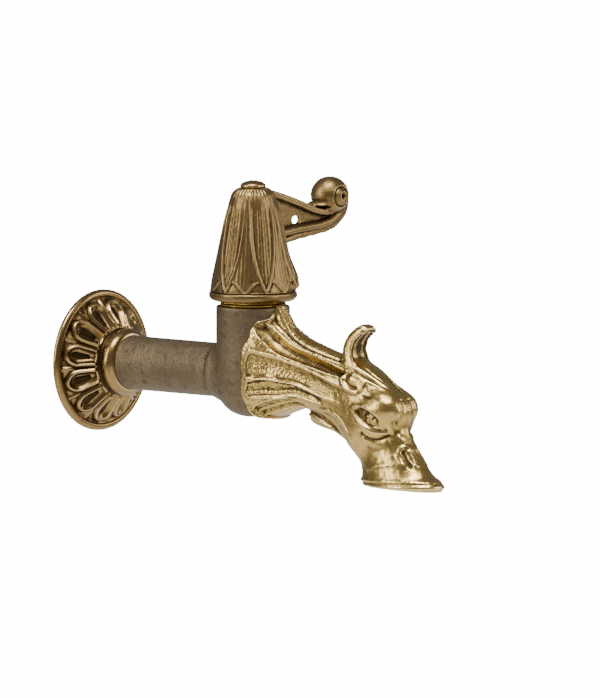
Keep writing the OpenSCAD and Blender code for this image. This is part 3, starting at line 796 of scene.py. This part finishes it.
def rosette_relief(angle, r, x):
    """Twelve hollow petals with raised rims, and a dart between each pair."""
    turn = (angle / DEG + 25) % 30 - 15
    t = turn * DEG * r
    q = np.where(r < petal_end, np.abs(t), np.hypot(t, r - petal_end))
    width = petal_spread * np.minimum(r, petal_end)
    out = q - width
    field = smooth(15.4, 16.4, r) * (1 - smooth(27.2, 27.9, r)) * (x > 2)
    rim = 0.9 * bump(out, -1.15, 0.85)
    hollow = -1.75 * np.clip(1 - (q / (width - 1.3)) ** 2, 0, 1)
    gap = -0.75 * smooth(-0.2, 0.5, out)
    between = (15 - np.abs(turn)) * DEG * r
    dart = 0.8 * smooth(-0.1, 0.6, out) * bump(between, 0, 1.0) * smooth(22.5, 24.5, r)
    groove = 0.25 * bump(r, 28.2, 0.4) * (x > 1.5) * (x < 5)
    return (rim + hollow + gap + dart) * field - groove


def make_rosette():
    """The wall rosette: rim, petals, collar round the pipe, and its hollow back."""
    edge, low = rosette_r, rosette_depth - 7.5
    outside = np.array([(-0.8, 0), (-0.2, 0.3), (0, 1.2), (-0.2, 2.2), (-1.2, 2.95), (-2.4, 3.1), (-3.2, 2.7),
                        (-3.7, 2.2), (-4.3, 2.8), (-6, 4.5), (-8.5, 6.3), (-11, 8.2), (-13.5, 10.4),
                        (-15.2, 12), (-16.6, low)]) + (edge, 0)
    collar = [(11.9 + 2.9 * math.cos(a * DEG), low + 3.75 + 3.75 * math.sin(a * DEG))
              for a in range(-55, 91, 12)]
    inner = [(pipe_r + 0.12, rosette_depth - 0.3), (pipe_r + 0.12, 8.6), (15.5, 8.6), (edge - 12, 5.4),
             (edge - 7, 2), (edge - 2.6, 0.4), (edge - 2.6, 0), (edge - 0.8, 0)]
    profile = np.concatenate([spread_profile(rounded(outside), 112), spread_profile(collar, 26),
                              spread_profile(inner, 22)])
    points, faces = turned(profile, 600, rosette_relief)
    points = along_x(points)
    return mesh_object("rosette_sculpted", points, faces, {"wear_and_shade": wear_and_shade(points, faces, 12, 2.6)})


# ---- barrel and inlet tube

def make_barrel(step):
    """Barrel with its rounded foot, run into the collar round the inlet tube."""
    reach = barrel_x - barrel_low[0]
    room, foot, foot_top, chamber_r, chamber_floor = 1.5, barrel_foot - 3, -3, 12, 8
    field = Field([-reach - 1, 0, -barrel_foot - room], [barrel_r + room, barrel_r + room, barrel_top + room],
                  step)
    x, y, z = field.coordinates(field.block())
    r = np.hypot(x, y)
    bulge = (np.abs(r / barrel_r) ** 2.3 + np.abs(np.minimum(z - foot_top, 0) / foot) ** 2.3) ** (1 / 2.3)
    d = (bulge - 1) * np.where(z < foot_top, min(barrel_r, foot), barrel_r)
    d = smooth_max(d, z - barrel_top, 0.9)
    across = np.hypot(y, z)
    collar = smooth_max(across - (pipe_r + 1.6), -x - (barrel_r + 1.2), 2.2)
    d = smooth_min(d, np.maximum(collar, x), 3.2)
    neck = smooth_max(across - (pipe_r + 0.25), -x - reach, 0.4)
    d = smooth_min(d, np.maximum(neck, x), 1.2)
    # the tube's seat and the valve chamber
    d = np.maximum(d, -np.maximum(across - pipe_r + 0.05, x + 7))
    field.d = np.maximum(d, -np.maximum(r - chamber_r, chamber_floor - z))
    points, faces = field.surface()
    wear_and_shade_level = wear_and_shade(points, faces, 16, 2.5)
    points[:, 0] += barrel_x
    return mesh_object("barrel_cast", points, faces, {"wear_and_shade": wear_and_shade_level})


def make_tube():
    """Inlet tube with a pipe thread on the tail."""
    start, crest, pitch, depth = cad_box("inlet_tube")[0][0], 10.4775, 1.814, 1.162
    end, bore = 79.0, 7.5
    rows = np.concatenate([np.linspace(start + 0.3, -0.15, 150), [0.0, 0.25, 0.5], np.linspace(2, end, 40)])
    columns = 120
    angle = np.linspace(0, 2 * math.pi, columns, endpoint=False)
    x, a = np.meshgrid(rows, angle, indexing="ij")
    phase = (x / pitch - a / (2 * math.pi)) % 1
    tooth = np.clip(np.abs(phase - 0.5) * 2.6 - 0.25, 0, 1)
    cut = depth * smooth(start, start + 1.6, x) * (1 - smooth(-1.8, -0.4, x))
    chamfer = 0.9 * (1 - smooth(start + 0.2, start + 1.3, x))
    r = np.where(x < 0, crest - chamfer - cut * (1 - tooth), pipe_r - 0.35 * (1 - smooth(0, 0.6, x)))
    outer = np.stack([x, r * np.cos(a), r * np.sin(a)], -1)
    rings = ((bore, end), (bore, start), (crest - 1.2, start))
    inner = [[np.full(columns, at), radius * np.cos(angle), radius * np.sin(angle)] for radius, at in rings]
    points = np.concatenate([outer, np.stack([np.stack(ring, -1) for ring in inner])]).reshape(-1, 3)
    count = len(rows) + len(rings)
    faces = grid_faces(count, columns)
    j = np.arange(columns)
    k = (j + 1) % columns
    last = (count - 1) * columns
    faces = np.concatenate([faces, np.stack([last + j, last + k, k, j], 1)])[:, ::-1]
    return mesh_object("tube_threaded", points, faces, {"wear_and_shade": np.zeros(len(points))})


# ---- materials

def material(name):
    """A new material and its empty node tree."""
    mat = bpy.data.materials.new(name)
    mat.use_nodes = True
    mat.node_tree.nodes.clear()
    return mat, mat.node_tree


def node(tree, kind, inputs=None, **settings):
    """A new node. Each input is another node's socket, which is linked, or a constant."""
    n = tree.nodes.new(kind)
    for key, value in settings.items():
        setattr(n, key, value)
    for key, value in (inputs or {}).items():
        fill(tree, n.inputs[key], value)
    return n


def fill(tree, socket, value):
    """Links another node's socket to this one, or sets it to a constant."""
    if isinstance(value, bpy.types.NodeSocket):
        tree.links.new(value, socket)
    else:
        socket.default_value = value


def maths(tree, operation, a, b, clamp=False):
    return node(tree, "ShaderNodeMath", {0: a, 1: b}, operation=operation, use_clamp=clamp).outputs[0]


def plus(tree, a, b):
    return maths(tree, "ADD", a, b)


def times(tree, a, b):
    return maths(tree, "MULTIPLY", a, b)


def swing(tree, value, gain):
    """A value that runs round 0.5, made to run round 0 and scaled."""
    return times(tree, maths(tree, "SUBTRACT", value, 0.5), gain)


def object_place(tree):
    return node(tree, "ShaderNodeTexCoord").outputs["Object"]


def noise(tree, place, scale, detail=4.0, rough=0.55, distortion=0.0):
    return node(tree, "ShaderNodeTexNoise", {"Vector": place, "Scale": scale, "Detail": detail,
                                             "Roughness": rough, "Distortion": distortion}).outputs["Fac"]


def step_between(tree, value, low, high):
    """0 where the value is low, 1 where it is high, smooth in between."""
    return node(tree, "ShaderNodeMapRange", {"Value": value, "From Min": low, "From Max": high},
                interpolation_type="SMOOTHSTEP").outputs["Result"]


def mixed(tree, factor, a, b, blend="MIX"):
    """Two colours mixed."""
    n = node(tree, "ShaderNodeMix", data_type="RGBA", blend_type=blend)
    for key, kind, value in (("Factor", "VALUE", factor), ("A", "RGBA", a), ("B", "RGBA", b)):
        fill(tree, [s for s in n.inputs if s.name == key and s.type == kind][0], value)
    return [s for s in n.outputs if s.type == "RGBA"][0]


def skin(tree, height, metres, below=None, strength=1.0):
    """The normal of a bumpy skin, laid over another normal where one is given."""
    inputs = {"Strength": strength, "Distance": metres, "Height": height}
    if below is not None:
        inputs["Normal"] = below
    return node(tree, "ShaderNodeBump", inputs).outputs[0]


def finished(tree, inputs):
    """Adds the principled shader with these inputs, and the output."""
    shader = node(tree, "ShaderNodeBsdfPrincipled", inputs)
    node(tree, "ShaderNodeOutputMaterial", {"Surface": shader.outputs[0]})


def colour(text):
    """Linear colour from an sRGB hex string."""
    parts = [int(text[i:i + 2], 16) / 255 for i in (0, 2, 4)]
    return [c / 12.92 if c <= 0.04045 else ((c + 0.055) / 1.055) ** 2.4 for c in parts] + [1.0]


def brass(name, base, dark, light, rough, mottle, pits, grain=0.0, shade_reach=0.0):
    """Worn cast brass: painted shade and a dark patina in the hollows, bright rubbed edges. mottle: how
    uneven the tone
    is. pits: height of the skin. grain: height of the rasped skin where the mesh says so. The last one sets
    how far the painted shade spreads."""
    base, dark, light = colour(base), colour(dark), colour(light)
    mat, tree = material(name)
    place = object_place(tree)
    wear_and_shade_level, grainy = (node(tree, "ShaderNodeAttribute", attribute_name=key).outputs["Fac"]
                    for key in ("wear_and_shade", "grain"))
    broad = noise(tree, place, 38, 3.0)
    middle = noise(tree, place, 260, 5.0, 0.62, 0.4)
    fine = noise(tree, place, 1150, 3.0, 0.6)
    speck = node(tree, "ShaderNodeTexVoronoi", {"Vector": place, "Scale": 900, "Randomness": 1.0},
                 feature="F1").outputs["Distance"]
    speckle = swing(tree, fine, plus(tree, 0.25, grainy))
    level = plus(tree, plus(tree, wear_and_shade_level, swing(tree, middle, 0.9)), times(tree, speckle, 1.1))
    # painted shade: hollow points, and the low spots of the noise, are mixed toward the dark colour
    hollow = step_between(tree, level, -0.02 + shade_reach, -0.62 + shade_reach)
    edge = times(tree, step_between(tree, level, 0.3, 1.0), 0.6)
    tone = plus(tree, 1.0 - 0.5 * mottle, times(tree, broad, mottle))
    grey = node(tree, "ShaderNodeCombineColor", {0: tone, 1: tone, 2: tone}).outputs[0]
    spots = times(tree, step_between(tree, middle, 0.52, 0.70), 0.7 * mottle)
    spotted = mixed(tree, spots, mixed(tree, 1.0, base, grey, "MULTIPLY"), dark)
    tint = mixed(tree, edge, mixed(tree, hollow, spotted, dark), light)
    roughness = plus(tree, plus(tree, rough, swing(tree, middle, 0.22)), times(tree, hollow, 0.22))
    roughness = maths(tree, "SUBTRACT", roughness, times(tree, edge, 0.08), clamp=True)
    normal = skin(tree, middle, 0.00022 * pits)
    normal = skin(tree, fine, 0.0001 * pits, normal)
    normal = skin(tree, times(tree, speck, grainy), 0.0002 * grain, normal)
    finished(tree, {"Base Color": tint, "Metallic": 1.0, "Roughness": roughness, "Normal": normal})
    return mat


def plain(name, base, other, rough, metallic=0.0, bump_height=0.05):
    """A simple two-tone procedural finish for the inner parts."""
    mat, tree = material(name)
    place = object_place(tree)
    broad = noise(tree, place, 120, 4.0)
    fine = noise(tree, place, 1600, 3.0)
    tint = mixed(tree, step_between(tree, broad, 0.35, 0.7), colour(base), colour(other))
    roughness = plus(tree, rough, swing(tree, fine, 0.2))
    finished(tree, {"Base Color": tint, "Metallic": metallic, "Roughness": roughness,
                    "Normal": skin(tree, fine, 0.001 * bump_height)})
    return mat


def turned_brass(name, base, dark, rough):
    """Machined brass: fine rings round the barrel axis."""
    mat, tree = material(name)
    place = object_place(tree)
    height = node(tree, "ShaderNodeSeparateXYZ", {"Vector": place}).outputs["Z"]
    rings = noise(tree, node(tree, "ShaderNodeCombineXYZ", {"Z": height}).outputs[0], 2600, 2.0)
    broad = noise(tree, place, 90, 4.0)
    fine = noise(tree, place, 700, 4.0)
    tint = mixed(tree, step_between(tree, broad, 0.4, 0.75), colour(base), colour(dark))
    roughness = plus(tree, rough, swing(tree, fine, 0.25))
    finished(tree, {"Base Color": tint, "Metallic": 1.0, "Roughness": roughness,
                    "Normal": skin(tree, rings, 0.00003, strength=0.5)})
    return mat


polished = brass("polished_brass", "b59857", "43341e", "ecd496", 0.23, mottle=0.4, pits=0.8, grain=1.0)
antique = brass("antique_brass", "7c653f", "32271a", "bfa36e", 0.36, mottle=0.7, pits=0.9, grain=0.5)
# The rosette's last argument narrows the painted shade in its hollows.
rosette_look = brass("rosette_brass", "8c7248", "362918", "dcc494", 0.25, mottle=0.45, pits=0.35, shade_reach=-0.04)
aged = brass("aged_brass", "6b5d48", "40372b", "8c7c60", 0.52, mottle=0.9, pits=2.6)
screw_look = brass("screw_brass", "7c653f", "3a2c1c", "b89c68", 0.32, mottle=0.5, pits=0.5)
looks = {
    "bright_brass": turned_brass("bright_brass", "d8b04c", "b08a34", 0.2),
    "rubber": plain("rubber", "1c1c1c", "262626", 0.6),
    "fibre": plain("fibre", "7a3020", "90402a", 0.75, bump_height=0.1),
    "polymer": plain("polymer", "d9d9d2", "c8c8c0", 0.45),
    "ceramic": plain("ceramic", "e8e6df", "dcd9d0", 0.25),
    "spring_steel": plain("spring_steel", "9a9a98", "80807c", 0.35, metallic=1.0),
}


def dressed(obj, mat):
    obj.data.materials.clear()
    obj.data.materials.append(mat)


# ---- pieces

spout_voxel, barrel_voxel, lever_voxel = 0.42, 0.45, 0.32


def place(obj, mat, body, cad_node, slot):
    """Gives a piece its material and its body, and hides the CAD node that it stands for."""
    dressed(obj, mat)
    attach(obj, body)
    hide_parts(cad_node)


place(make_spout(spout_voxel), polished, "tap", "spout", "polished_brass")
place(make_barrel(barrel_voxel), aged, "tap", "barrel", "aged_brass")
place(make_tube(), aged, "tap", "inlet_tube", "aged_brass")
place(make_bell(), antique, "lever", "handle", "antique_brass")
place(make_lever(lever_voxel), antique, "lever", "handle", "antique_brass")
place(make_screw(), screw_look, "lever", "handle_screw", "screw_brass")
place(make_rosette(), rosette_look, "rosette", "wall_rosette", "rosette_brass")

for part in frame["record"]["subparts"]:
    if part["material_slot"] in looks:
        dressed(frame["nodes"][part["node"]], looks[part["material_slot"]])


# ---- studio

def direction(azimuth, elevation):
    """Unit vector that points from the tap at this azimuth and elevation, in degrees."""
    a, e = azimuth * DEG, elevation * DEG
    return Vector((math.sin(a) * math.cos(e), -math.cos(a) * math.cos(e), math.sin(e)))


def looking_at(name, data, aim, towards, distance):
    """A light or camera at a distance from its aim, looking back at it."""
    obj = bpy.data.objects.new(name, data)
    obj.location = Vector(aim) + towards * distance
    obj.rotation_euler = towards.to_track_quat("Z", "Y").to_euler()
    bpy.context.scene.collection.objects.link(obj)
    return obj


def area_light(name, angles, distance, size, power):
    """A soft rectangular light that looks at the tap from (azimuth, elevation)."""
    light = bpy.data.lights.new(name, "AREA")
    light.shape = "RECTANGLE"
    light.size, light.size_y = size
    light.energy = power
    looking_at(name, light, light_aim, direction(*angles), distance)


# Metres, from here to the end
light_aim, camera_aim = (0.11, 0, 0.02), (0.1185, 0, 0.0123)
floor_r, floor_z, floor_sides = 3.4, -0.6, 64
rim_angles = [2 * math.pi * k / floor_sides for k in range(floor_sides)]
floor_mesh = bpy.data.meshes.new("floor")
floor_mesh.from_pydata([(floor_r * math.cos(a), floor_r * math.sin(a), floor_z) for a in rim_angles], [],
                       [tuple(range(floor_sides))])
floor = bpy.data.objects.new("floor", floor_mesh)
bpy.context.scene.collection.objects.link(floor)
floor_mat, floor_tree = material("studio_floor")
finished(floor_tree, {"Base Color": (0.85, 0.85, 0.84, 1), "Roughness": 0.7,
                      "Emission Color": (1, 1, 1, 1), "Emission Strength": 0.45})
dressed(floor, floor_mat)

# The world: pure white to the camera, and a dim fill to everything else
world = bpy.data.worlds.new("studio")
bpy.context.scene.world = world
world.use_nodes = True
sky = world.node_tree
sky.nodes.clear()
seen, felt = (node(sky, "ShaderNodeBackground", {"Color": (1, 1, 1, 1), "Strength": strength}).outputs[0]
              for strength in (16.0, 0.28))
is_seen = node(sky, "ShaderNodeLightPath").outputs["Is Camera Ray"]
choice = node(sky, "ShaderNodeMixShader", {0: is_seen, 1: felt, 2: seen})
node(sky, "ShaderNodeOutputWorld", {"Surface": choice.outputs[0]})

area_light("top", (20, 68), 1.3, (0.75, 0.6), 28)
area_light("left", (-30, 20), 1.5, (0.3, 1.1), 13)
area_light("right", (105, 20), 1.5, (0.3, 1.1), 9)
area_light("behind_right", (139, 14), 1.5, (0.45, 0.8), 5)
area_light("front_low", (50, -28), 1.6, (0.9, 0.5), 4)

camera_distance = 10.0
camera_data = bpy.data.cameras.new("camera")
camera_data.lens = 374.0 * camera_distance / 3.2  # frames the tap as the photo does
camera_data.sensor_width = 36.0
camera_data.clip_end = 50
camera = looking_at("camera", camera_data, camera_aim, direction(41, 5.6), camera_distance)
bpy.context.scene.camera = camera
